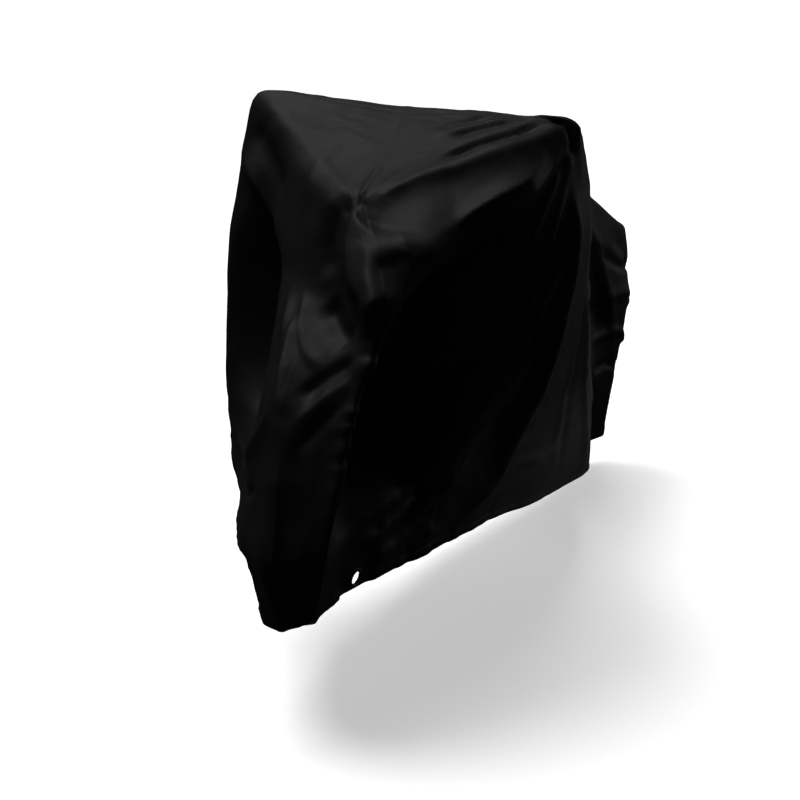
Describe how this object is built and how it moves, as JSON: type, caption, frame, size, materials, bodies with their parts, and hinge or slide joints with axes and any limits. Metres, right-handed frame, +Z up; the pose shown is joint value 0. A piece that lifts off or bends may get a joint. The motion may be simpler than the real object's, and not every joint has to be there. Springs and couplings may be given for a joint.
{
  "type": "bicycle cover",
  "caption": "Fitted hollow cloth cover as it hangs over a leaning bicycle, open at the hem, with a ringed eyelet in a hem strip on each side of the front wheel.",
  "frame": {"origin": "the point just under the cloth, over the middle of the handlebar, where the bicycle holds the cover up", "axes": "+X to the rider's left, +Y from the front wheel to the rear wheel, +Z up; the cover keeps the lean of a bicycle on its kickstand"},
  "size_m": [0.6371, 1.792, 0.9534],
  "materials": {
    "left_cloth": "coated plain weave, near black, soft gloss",
    "right_cloth": "coated plain weave, near black, soft gloss",
    "left_strip": "the same cloth, doubled and stitched at the hem",
    "right_strip": "the same cloth, doubled and stitched at the hem",
    "eyelet_metal": "dark plated, worn at the rim"
  },
  "bodies": {
    "root": {"left_panel": "left_cloth", "right_panel": "right_cloth", "left_eyelet_strip": "left_strip", "right_eyelet_strip": "right_strip", "left_eyelet_ring": "eyelet_metal", "right_eyelet_ring": "eyelet_metal"}
  },
  "joints": []
}
